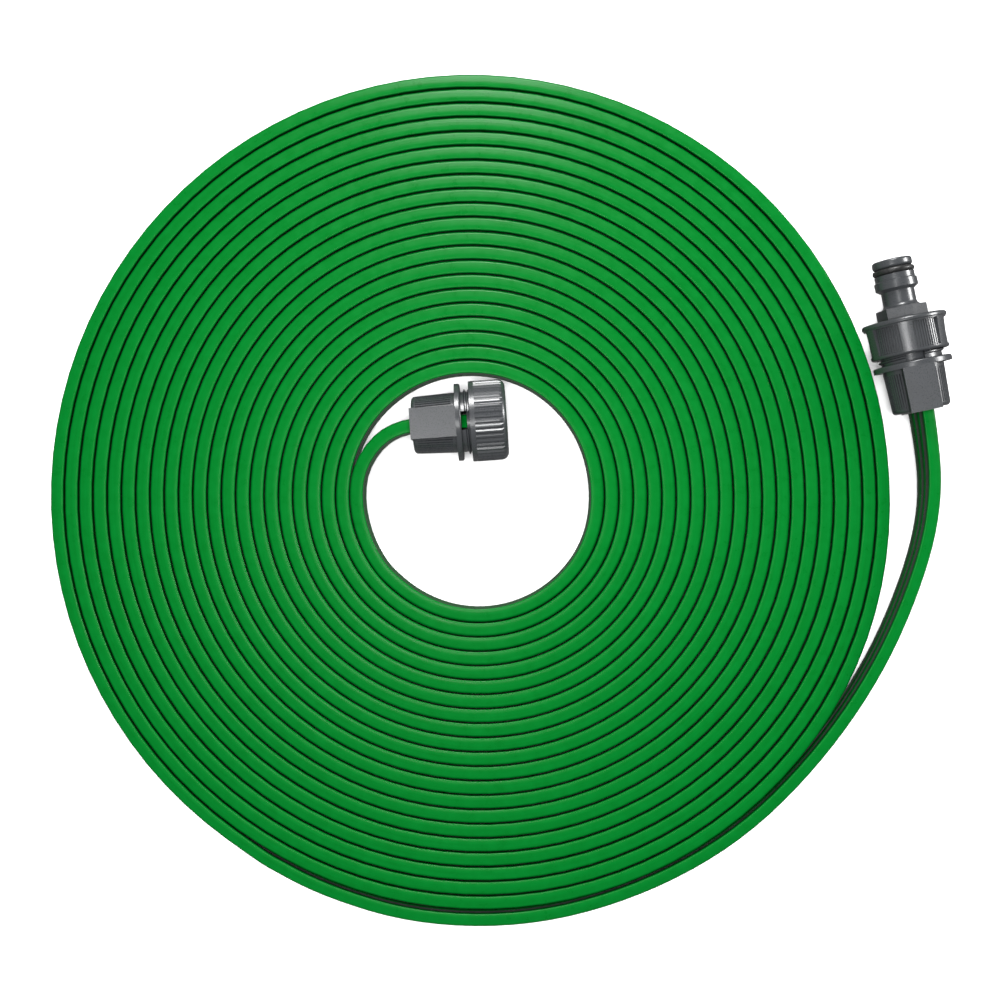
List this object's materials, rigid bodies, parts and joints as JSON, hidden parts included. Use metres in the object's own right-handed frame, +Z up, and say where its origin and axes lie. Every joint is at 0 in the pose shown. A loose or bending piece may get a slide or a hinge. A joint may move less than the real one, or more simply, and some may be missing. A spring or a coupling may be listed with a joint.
{
  "type": "soaker hose",
  "caption": "Flat three-channel soaker hose wound on edge in a flat spiral, with a push-on inlet union and a knurled end cap.",
  "frame": {"origin": "on the floor, under the middle of the whole object's bounding box", "axes": "+Z up, along the axis of the wound spiral; +Y towards the end that the inlet nipple points at"},
  "size_m": [0.3662, 0.3473, 0.0348],
  "materials": {
    "hose": "soft satin",
    "fitting": "satin moulded",
    "seal": "smooth"
  },
  "bodies": {
    "root": {"hose_coil": "hose", "hose_inlet_run": "hose", "hose_end_run": "hose", "inlet_coupling": "fitting", "inlet_insert": "fitting", "end_coupling": "fitting", "end_insert": "fitting"},
    "inlet_nipple": {"nipple": "fitting", "nipple_o_ring": "seal", "inlet_gasket": "seal"},
    "inlet_nut": {"union_nut": "fitting"},
    "end_seal": {"end_gasket": "seal"},
    "end_closure": {"end_cap": "fitting"}
  },
  "joints": [
    {"name": "nipple_lift", "type": "slide", "parent": "root", "child": "inlet_nipple", "axis": [-0.2011, 0.9796, 0], "range_m": [0, 0.0073]},
    {"name": "nut_turn", "type": "hinge", "parent": "inlet_nipple", "child": "inlet_nut", "pos_m": [0.16575, 0.06295, 0.0178], "axis": [-0.2011, 0.9796, 0], "range_deg": [0, 1440]},
    {"name": "seal_lift", "type": "slide", "parent": "root", "child": "end_seal", "axis": [0.9976, 0.0698, 0], "range_m": [0, 0.0031]},
    {"name": "cap_turn", "type": "hinge", "parent": "end_seal", "child": "end_closure", "pos_m": [0.00055, 0.03277, 0.01675], "axis": [0.9976, 0.0698, 0], "range_deg": [0, 600]}
  ],
  "couplings": [
    {"joint": "nipple_lift", "follows": "nut_turn", "m_per_rad": 0.00028871},
    {"joint": "seal_lift", "follows": "cap_turn", "m_per_rad": 0.00028871}
  ]
}
